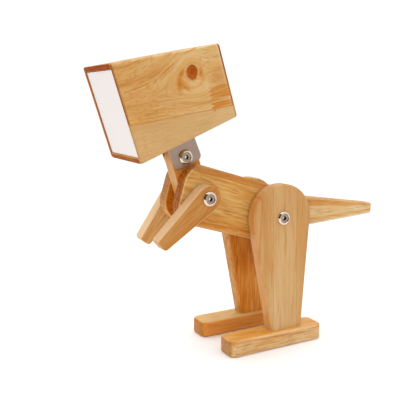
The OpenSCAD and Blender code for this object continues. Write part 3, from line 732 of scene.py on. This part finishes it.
# what the two boards of a pair share
cheek = {
    "turn": boardTurn(-lamp["torsoPitch"]), "origin": shoulderPlace, "gloss": 0.07,
    "radius": 0.0022, "sharp": 60.0, "innerFace": 0.009, "holes": (shoulderHole, hipHole),
}
arm = {"origin": shoulderPlace, "ends": 0.12, "radius": 0.0015, "holes": (shoulderHole,)}
leg = {
    "turn": boardTurn(lamp["legAngle"]), "origin": hipPlace,
    "radius": 0.0026, "seatHeight": 0.0180, "holes": (hipHole,),
}
foot = {"turn": boardTurn(0.0, "lying"), "wearAndHighlight": 0.08, "radius": 0.0026, "rimReach": 0.002}
headSide = {
    # the long rounded edges are painted pale: wear and painted highlight
    "turn": boardTurn(lamp["headTilt"] - lamp["headTaper"]), "wearAndHighlight": 0.9,
    "radius": 0.0020, "longRadius": 0.0026, "outerFace": 0.039,
}
boards = {
    "left_cheek": {
        **cheek, "seed": (11.52, 0.1893, 0.0), "staveWidth": 0.053, "staves": 2.6, "figure": 1.0,
        "amber": 0.6, "longStreaks": 0.35, "streaks": 0.66, "flecks": 0.5, "endEdgeHighlight": 0.15,
        "tint": (0.955, 0.97, 0.95),
        "shades": (
            {"tint": (0.88, 0.68, 0.44), "way": across, "fade": (-0.010, -0.026)},
            # a pale line where the chamfer meets the face: painted highlight
            {"tint": (1.10, 1.20, 1.36), "way": across, "band": (0.0220, 0.0014)},
            {"tint": (1.28, 1.58, 2.0), "on": "sides", "way": along, "fade": (0.035, -0.005)},
            # a pale line at the chamfer's top edge: painted highlight
            {"tint": (1.25, 1.55, 2.1), "on": "sides", "way": across, "fade": (0.0278, 0.0292)},
            # the front end: painted shade under the neck, lighter towards the bottom
            {"tint": (1.15, 1.27, 1.05), "on": "ends", "way": across, "fade": (0.012, -0.012)},
            {"tint": (1.22, 1.34, 0.62), "on": "ends", "way": across, "fade": (-0.010, 0.012)},
            {"tint": (0.80, 0.68, 0.82), "on": "sides"},
            # the top face lighter: painted light from above
            {"tint": (1.35, 1.85, 2.8), "on": "plusSide"},
        ),
        "marks": {
            "colour": (0.43, 0.145, 0.013),
            "smudges": (((-0.0073, 0.0197), (0.0050, 0.0006), 107.0, 0.6),),
        },
    },
    "right_cheek": {
        **cheek, "seed": (0.4, 0.31, 0.2), "ends": 0.75, "endEdgeHighlight": 0.14,
        "shades": (
            # the inside face, seen in the gap between the cheeks: darker and more orange, painted shade
            {"tint": (0.80, 0.45, 0.08), "on": "face"},
            {"tint": (1.14, 1.27, 1.55), "on": "ends", "way": along, "fade": (0.0, -0.016)},
            # the top face lighter: painted light from above
            {"tint": (1.3, 1.7, 2.4), "on": "plusSide"},
        ),
    },
    "torso_core": {
        "turn": boardTurn(-lamp["torsoPitch"]), "origin": shoulderPlace, "seed": (0.7, 0.5, 0.3),
        # the core's top face lighter: painted light from above
        "tint": (0.94, 0.86, 0.78), "shades": ({"tint": (1.3, 1.7, 2.4), "on": "plusSide"},),
        "radius": 0.0006, "steps": 2, "holes": ((lamp["shoulder"], 0.09),),
    },
    "left_arm": {
        **arm, "turn": boardTurn(lamp["leftArmAngle"]), "seed": (0.2, 0.01, 0.11),
        "streaks": 0.46, "flecks": 0.16, "sideEdgeHighlight": 0.5, "tint": (0.86, 0.80, 0.72),
        "shades": ({"tint": (0.84, 0.72, 0.58), "on": "face"},),
    },
    "right_arm": {
        **arm, "turn": boardTurn(lamp["rightArmAngle"]), "seed": (0.55, 0.4, 0.2),
        "flecks": 0.25, "sideEdgeHighlight": 0.6,
        "shades": ({"tint": (0.93, 0.93, 1.0), "on": "face"},),
    },
    "left_leg": {
        **leg, "seed": (13.94, 1.5213, 0.03),
        "staveWidth": 0.0295, "staves": 0.8, "amber": 0.22, "longStreaks": 0.16, "streaks": 0.14,
        "flecks": 0.18, "ends": 0.12, "wearAndHighlight": 0.0, "tint": (0.84, 0.845, 0.98),
        "shades": (
            {"tint": (1.05, 1.11, 1.22), "way": along, "fade": (-0.05, -0.11)},
            {"tint": (0.96, 0.93, 0.89), "way": along, "fade": (-0.04, 0.01)},
            {"tint": (0.94, 0.89, 0.83), "way": (0.06, 1.0), "fade": (0.009, 0.018)},
            {"tint": (1.10, 1.00, 0.88), "on": "sides"},
        ),
        "marks": {
            "colour": (0.50, 0.185, 0.035),
            "smudges": (
                ((-0.0440, 0.0151), (0.0280, 0.0014), -1.4, 0.5),
                ((-0.0200, -0.0135), (0.0220, 0.0012), 3.0, 0.4),
            ),
        },
    },
    "right_leg": {
        **leg, "seed": (0.65, 0.35, 0.4),
        "amber": 0.8, "longStreaks": 0.9, "streaks": 0.8, "ends": 0.15,
        "shades": (
            # painted shade between the legs: the inner face darker and more orange lower down, the whole leg
            # darker towards the bottom
            {"tint": (1.20, 0.91, 0.48), "on": "face", "way": along, "fade": (0.012, -0.04)},
            {"tint": (0.86, 0.78, 0.63), "way": along, "fade": (-0.085, -0.050)},
            # lighter at the top, above the torso: painted light over that shade
            {"tint": (1.06, 1.42, 1.85), "on": "notBack", "way": along, "fade": (0.006, 0.022)},
        ),
    },
    "left_foot": {
        **foot, "origin": (0.0089, -0.031, 0.0), "seed": (0.3, 0.0, 0.0),
        "figure": 1.3, "amber": 0.7, "streaks": 0.68, "ends": 0.6, "tint": (1.01, 1.17, 1.68),
        "shades": ({"tint": (1.22, 1.07, 0.66), "on": "face"},),
    },
    "right_foot": {
        **foot, "origin": (0.0089, 0.031, 0.0), "seed": (0.8, 0.2, 0.1),
        # tint: darker and more orange, painted shade on the foot's inner side; the shades below lift the top
        # and the outer side back
        "figure": 0.4, "amber": 0.3, "streaks": 0.28, "ends": 0.35, "tint": (1.01, 0.68, 0.36),
        "shades": (
            # the top and the outer side lifted back out of that painted shade
            {"tint": (1.09, 1.82, 3.9), "on": "face"},
            {"tint": (0.82, 0.94, 1.03), "on": "ends", "way": along, "fade": (-0.04, -0.05)},
            {"tint": (1.03, 1.58, 2.9), "on": "plusSide"},
        ),
    },
    "tail": {
        "turn": boardTurn(-lamp["tailDroop"]), "origin": hipPlace, "seed": (0.1, 0.0145, 0.25),
        "figure": 0.4, "amber": 0.15, "longStreaks": 0.1, "streaks": 0.50, "flecks": 0.5, "ends": 0.4,
        "tint": (1.00, 1.20, 1.72),
        "shades": (
            {"tint": (0.88, 0.64, 0.36), "way": (0.02, 1.0), "fade": (0.0055, 0.0085)},
            {"tint": (0.92, 0.74, 0.50), "way": (-0.08, 1.0), "band": (-0.0138, 0.0026)},
            {"tint": (1.03, 1.12, 1.25), "way": along, "fade": (0.09, 0.14)},
        ),
        "radius": 0.0026, "holes": (hipHole,),
    },
    "neck": {
        "turn": boardTurn(90.0 + lamp["neckLean"]), "origin": shoulderPlace, "seed": (0.45, 0.0, 0.1),
        # the near face darker and more orange: painted shade under the head
        "shades": ({"tint": (1.02, 0.72, 0.42), "on": "face"},),
        "radius": 0.0018, "holes": (shoulderHole, headHole),
    },
    "head_left_side": {
        **headSide, "origin": (-0.08936, -0.03975, 0.28368), "seed": (3.8245, 0.06, 0.0),
        "staveWidth": 0.3, "staves": 0.0, "figure": 0.6, "amber": 0.12, "longStreaks": 0.06, "streaks": 0.36,
        "flecks": 0.36, "fineFlecks": 0.5, "fineReach": (-0.055, 0.010), "darkEdge": 0.3,
        "gloss": 0.04, "tint": (0.88, 0.93, 1.10),
        "shades": (
            {"tint": (0.93, 0.83, 0.69), "way": along, "fade": (0.0, -0.06)},
            {"tint": (0.88, 0.90, 0.95), "on": "ends", "way": along, "fade": (-0.04, -0.05)},
            # a pale band along the top edge: painted highlight
            {"tint": (1.10, 1.26, 1.55), "way": across, "band": (0.0194, 0.0020)},
            {"tint": (1.12, 1.20, 1.32), "way": (-1.0, -0.9), "fade": (0.085, 0.100)},
            {"tint": (1.11, 1.24, 1.5), "way": (1.0, -1.0), "fade": (0.055, 0.068)},
        ),
        # painted shade and painted highlight at the rear edge
        "rearShadeAndHighlight": {
            "slant": lamp["headTaper"], "place": 0.03453, "dark": (0.0021, 0.0030), "pale": (0.00384, 0.0048),
            "highlightStrength": 0.3,
        },
        "joints": {
            "seamPlace": -0.0370, "seamSlope": -0.033, "seamSoft": 0.0002, "seamWidth": 0.0011,
            "seamShade": 0.6, "smoothBelow": 0.62, "below": (0.495, 0.305, 0.133),
            "patchStart": (0.0160, 0.0170), "patchTop": (-0.0205, -0.0145), "patchFingers": 0.45,
            "patchGap": -0.0302, "gapHalf": (0.0008, 0.0024), "patchGrain": 0.45, "patchShade": 0.48,
        },
        "marks": {
            "colour": (0.43, 0.145, 0.013),
            "smudges": (
                ((-0.0106, 0.0005), (0.0056, 0.0031), 48.0, 0.95),
                ((-0.0146, -0.0085), (0.0110, 0.0044), 82.0, 0.95),
                ((-0.0092, -0.0128), (0.0072, 0.0028), -36.0, 0.9),
                ((0.0084, -0.0022), (0.0066, 0.0029), 86.0, 0.95),
                ((0.0100, 0.0095), (0.0026, 0.0015), 40.0, 0.5),
                ((-0.0535, -0.0040), (0.0180, 0.0012), 10.0, 0.85),
                ((-0.0230, 0.0065), (0.0170, 0.0012), 28.0, 0.85),
                ((0.0030, 0.0185), (0.0140, 0.0010), 14.0, 0.75),
                ((-0.0340, 0.0040), (0.0220, 0.0080), 12.0, 0.30),
                ((0.0250, -0.0100), (0.0130, 0.0110), 0.0, 0.55),
                ((0.0160, -0.0385), (0.0016, 0.0011), 0.0, 0.9),
            ),
        },
        "knot": {
            "radius": 0.0061, "stretch": 0.86, "reach": 0.012, "flowEnd": (0.0210, 0.0216),
            "hillPlace": 0.004, "hillWidth": 0.042, "hillHeight": 0.021, "hillRise": (-0.02, 0.002),
            "wobble": {"stretch": 150.0, "detail": 3.0, "size": 0.0018},
            "rings": 1250.0, "ringRange": (-0.6, 0.9), "swirl": 5.0, "swirlScale": 260.0, "swirlDetail": 2.0,
            "darkWay": (0.6, 0.8), "softEdge": 0.45, "arc": 0.0142, "arcHalf": 0.0026,
            "halo": (0.50, 0.18, 0.022), "dark": (0.20, 0.042, 0.001),
            "middle": (0.27, 0.048, 0.001), "light": (0.40, 0.092, 0.004),
            # in radii of the knot
            "reaches": {
                "halo": (0.9, 1.5), "lowHalf": (-1.4, -0.6), "border": (0.4, 0.95), "darkSide": (-1.0, 0.6),
                "softSide": (-1.0, 0.0), "edge": (0.86, 1.12),
            },
            "strengths": {"halo": 0.4, "arc": 0.45, "rings": 0.8, "border": 0.8, "edge": 0.97},
        },
    },
    "head_right_side": {
        **headSide, "origin": (-0.08936, 0.03975, 0.28368), "seed": (0.9, 0.3, 0.1),
        "staveLength": 0.24, "ends": 0.45, "darkEdge": 0.9,
    },
    "head_top": {
        "turn": boardTurn(lamp["headTilt"] - lamp["headTaper"], "lying"), "origin": (-0.1, 0.0, 0.3),
        "seed": (0.25, 0.01, 0.1), "staveLength": 0.24, "gloss": 0.02, "tint": (0.95, 0.90, 0.84),
        "shades": (
            {"tint": (0.95, 1.07, 1.4), "on": "face"},
            {"tint": (0.95, 0.68, 0.45), "way": along, "fade": (-0.058, -0.065)},
        ),
        "radius": 0.0007, "steps": 3,
    },
    "head_bottom": {
        "turn": boardTurn(lamp["headTilt"] + lamp["headTaper"], "lying"), "origin": (-0.1, 0.0, 0.22),
        "seed": (0.6, 0.02, 0.2), "gloss": 0.02, "tint": (1.02, 0.98, 0.92),
        "radius": 0.0007, "steps": 3, "holes": ((lamp["headPivot"], 0.034),),
    },
    "head_rear": {
        "turn": boardTurn(lamp["headTilt"], "cross"), "origin": (-0.05, 0.0, 0.28), "seed": (0.33, 0.01, 0.3),
        "radius": 0.0004, "steps": 2, "sharp": 80.0,
    },
}
for nodeName, chosen in boards.items():
    settings = {**boardDefaults, **chosen}
    board = roundedCopy(nodeName, settings)
    paint(board, makeWood("wood_" + nodeName, settings))
print("boards dressed")

# turned bolt heads with a half-round rim, a dish and a hexagon socket
boltSettings = {
    "headRadius": 0.0072, "headHeight": 0.0024, "dish": 0.0007,
    "ridge": 0.0052, "rimInner": 0.0004, "rimFlat": 0.7, "rimStart": 15.0, "rimEnd": 75.0,
    "hexHalf": 0.0019, "hexDepth": 0.0020, "hexChamfer": 0.00015, "hexFloor": 0.7, "hexTurn": 60.0,
    "ringInner": 0.0032, "ringOuter": 0.0042, "ringHeight": 0.00018,
    "foot": 0.00025, "slip": 0.00005,
    "sleeveRadius": 0.004, "boreRadius": 0.00255, "boreLength": 0.017,
    "screwRadius": 0.0025, "screwLength": 0.016,
    "rimSteps": 10, "turnSteps": 96, "mergeDistance": 1e-7, "sharp": 40.0,
}
# socket: near-black walls, painted shade in the hexagon recess
boltTones = {"floor": 0.85, "socket": 0.01, "dish": 0.30, "ring": 0.56, "rim": 1.0, "shank": 0.7}


# half of the bolt's section from the socket's floor to the shank's end: radius, height and tone
def boltProfile(sleeveLength):
    bolt = boltSettings
    dishFloor = bolt["headHeight"] - bolt["dish"]
    hexFloor = dishFloor - bolt["hexDepth"]
    ringMiddle = (bolt["ringInner"] + bolt["ringOuter"]) / 2
    points = [
        (0.0, hexFloor, "floor"),
        (bolt["hexHalf"] * bolt["hexFloor"], hexFloor, "floor"),
        (bolt["hexHalf"], hexFloor, "socket"),
        (bolt["hexHalf"], dishFloor - bolt["hexChamfer"], "socket"),
        (bolt["hexHalf"] + bolt["hexChamfer"], dishFloor, "dish"),
        (bolt["ringInner"], dishFloor, "dish"),
        (ringMiddle, dishFloor + bolt["ringHeight"], "ring"),
        (bolt["ringOuter"], dishFloor, "dish"),
    ]
    for step in range(bolt["rimSteps"]):
        angle = math.pi / 2 * step / bolt["rimSteps"]
        radius = bolt["ridge"] - bolt["rimInner"] * math.cos(angle)
        points.append((radius, dishFloor + bolt["dish"] * math.sin(angle), "rim" if step else "dish"))
    first, last = math.radians(bolt["rimStart"]), math.radians(bolt["rimEnd"])
    domeRadius = (bolt["headRadius"] - bolt["ridge"]) / (math.sin(last) - math.sin(first))
    for step in range(bolt["rimSteps"] + 1):
        angle = first + (last - first) * step / bolt["rimSteps"]
        radius = bolt["ridge"] + domeRadius * (math.sin(angle) - math.sin(first))
        drop = bolt["rimFlat"] * domeRadius * (math.cos(first) - math.cos(angle))
        points.append((radius, bolt["headHeight"] - drop, "rim"))
    points.append((bolt["headRadius"], bolt["foot"], "rim"))
    points.append((bolt["headRadius"] - bolt["foot"], 0.0, "rim"))
    if sleeveLength:
        boreEnd = bolt["boreLength"] - sleeveLength
        shank = [
            (bolt["sleeveRadius"], 0.0), (bolt["sleeveRadius"], -sleeveLength),
            (bolt["boreRadius"], -sleeveLength), (bolt["boreRadius"], boreEnd), (0.0, boreEnd),
        ]
    else:
        screwEnd = -bolt["screwLength"]
        shank = [(bolt["screwRadius"], 0.0), (bolt["screwRadius"], screwEnd), (0.0, screwEnd)]
    return points + [(radius, height, "shank") for radius, height in shank]


def turnedBolt(nodeName, place, face, side):
    shape = bmesh.new()
    toneLayer = shape.verts.layers.float.new("boltTone")
    sleeveLength = 2 * face + boltSettings["slip"] if side > 0 else 0.0
    chain = []
    for radius, height, tone in boltProfile(sleeveLength):
        vert = shape.verts.new((radius, 0.0, height))
        vert[toneLayer] = boltTones[tone]
        chain.append(vert)
    edges = [shape.edges.new(pair) for pair in zip(chain, chain[1:])]
    bmesh.ops.spin(
        shape, geom=chain + edges, cent=(0, 0, 0), axis=(0, 0, 1), angle=2 * math.pi,
        steps=boltSettings["turnSteps"], use_merge=True,
    )
    bmesh.ops.remove_doubles(shape, verts=shape.verts, dist=boltSettings["mergeDistance"])
    bmesh.ops.recalc_face_normals(shape, faces=shape.faces)
    # the round socket becomes a hexagon
    hexReach = boltSettings["hexHalf"] + 2 * boltSettings["hexChamfer"]
    hexTurn = math.radians(boltSettings["hexTurn"])
    for vert in shape.verts:
        reach = math.hypot(vert.co.x, vert.co.y)
        if vert.co.z > 0.0 and 0.0 < reach < hexReach:
            fromFlat = math.atan2(vert.co.y, vert.co.x) % hexTurn - hexTurn / 2
            vert.co.x /= math.cos(fromFlat)
            vert.co.y /= math.cos(fromFlat)
    outwards = Matrix.Rotation(math.radians(-90 * side), 4, "X")
    seat = Vector((place[0], side * (face + boltSettings["slip"]), place[1]))
    bmesh.ops.transform(shape, matrix=Matrix.Translation(seat) @ outwards, verts=shape.verts)
    piece = dress(nodeName, shape)
    piece.data.set_sharp_from_angle(angle=math.radians(boltSettings["sharp"]))
    paint(piece, slotMaterials["bolt_steel"])


for boltName, place, face in (
    ("shoulder", lamp["shoulder"], lamp["limbFace"]), ("hip", lamp["hip"], lamp["limbFace"]),
    ("head", lamp["headPivot"], lamp["earFace"]),
):
    turnedBolt(boltName + "_sleeve", place, face, 1)
    turnedBolt(boltName + "_screw", place, face, -1)
print("bolts turned")

# metal and plastic pieces with rounded edges
roundedPieces = {
    "neck_bracket": {"radius": 0.0004, "steps": 3},
    "diffuser": {"radius": 0.00015, "steps": 2},
    "switch_body": {"radius": 0.0004, "steps": 3},
    "switch_button": {"radius": 0.0006, "steps": 4},
    "power_socket": {"radius": 0.0003, "steps": 3},
    "socket_pin": {"radius": 0.0003, "steps": 3},
}
for nodeName, chosen in roundedPieces.items():
    piece = roundedCopy(nodeName, {**roundDefaults, **chosen})
    paint(piece, slotMaterials[nodeSlots[nodeName]])
print("fittings dressed")

# the rest keep their CAD shape and get the finish of their slot
innerWood = makeWood("wood_inner", {
    **boardDefaults, "turn": boardTurn(lamp["headTilt"]), "origin": (0.0, 0.0, 0.0), "seed": (0.2, 0.1, 0.4),
})
for nodeName, node in frame["nodes"].items():
    if node.hide_render:
        continue
    slot = nodeSlots[nodeName]
    paint(node, innerWood if slot == "wood" else slotMaterials[slot])
print("inner pieces painted")


# pale floor and soft light
def stagePiece(name, shape, materialName, colour, rough):
    mesh = bpy.data.meshes.new(name)
    shape.to_mesh(mesh)
    shape.free()
    material, _, shader = newMaterial(materialName)
    shader.inputs["Base Color"].default_value = opaque(colour)
    shader.inputs["Roughness"].default_value = rough
    mesh.materials.append(material)
    piece = bpy.data.objects.new(name, mesh)
    scene.collection.objects.link(piece)
    return piece


floorSettings = {"size": 6.0, "colour": (0.945, 0.945, 0.945), "rough": 0.9}
floorShape = bmesh.new()
bmesh.ops.create_grid(floorShape, x_segments=1, y_segments=1, size=floorSettings["size"])
floor = stagePiece("floor", floorShape, "paleFloor", floorSettings["colour"], floorSettings["rough"])

worldSettings = {"colour": (1.0, 1.0, 1.0), "strength": 1.08}
world = bpy.data.worlds.new("paleWorld")
world.use_nodes = True
background = world.node_tree.nodes["Background"]
background.inputs["Color"].default_value = opaque(worldSettings["colour"])
background.inputs["Strength"].default_value = worldSettings["strength"]
scene.world = world

# a black strip that only reflections see, for contrast in the bright metal
cardSettings = {
    "from": (0.115, -0.992, -0.01), "to": (-0.824, 0.341, 0.439), "distance": 1.1, "halfWidth": 0.36,
    "colour": (0.005, 0.005, 0.005), "rough": 0.5,
}
cardCentre = Vector(shoulderPlace)
cardStart = Vector(cardSettings["from"]) * cardSettings["distance"]
cardEnd = Vector(cardSettings["to"]) * cardSettings["distance"]
cardSide = (cardEnd - cardStart).cross((cardStart + cardEnd) / 2).normalized() * cardSettings["halfWidth"]
cardCorners = (cardStart - cardSide, cardEnd - cardSide, cardEnd + cardSide, cardStart + cardSide)
cardShape = bmesh.new()
cardShape.faces.new([cardShape.verts.new(cardCentre + corner) for corner in cardCorners])
card = stagePiece("blackCard", cardShape, "blackCard", cardSettings["colour"], cardSettings["rough"])
card.visible_camera = False
card.visible_diffuse = False
card.visible_shadow = False

lights = {
    "keyLight": {"place": (-1.2, -0.75, 1.05), "size": 1.0, "power": 3.2, "colour": (1.0, 0.985, 0.96)},
    "topLight": {"place": (-0.15, 0.15, 1.6), "size": 1.4, "power": 10.0, "colour": (1.0, 1.0, 1.0)},
}
lightTarget = Vector((-0.02, 0.0, 0.16))
for name, settings in lights.items():
    lightData = bpy.data.lights.new(name, "AREA")
    lightData.size = settings["size"]
    lightData.energy = settings["power"]
    lightData.color = settings["colour"]
    light = bpy.data.objects.new(name, lightData)
    light.location = settings["place"]
    light.rotation_euler = (lightTarget - light.location).to_track_quat("-Z", "Y").to_euler()
    scene.collection.objects.link(light)
print("stage lit")
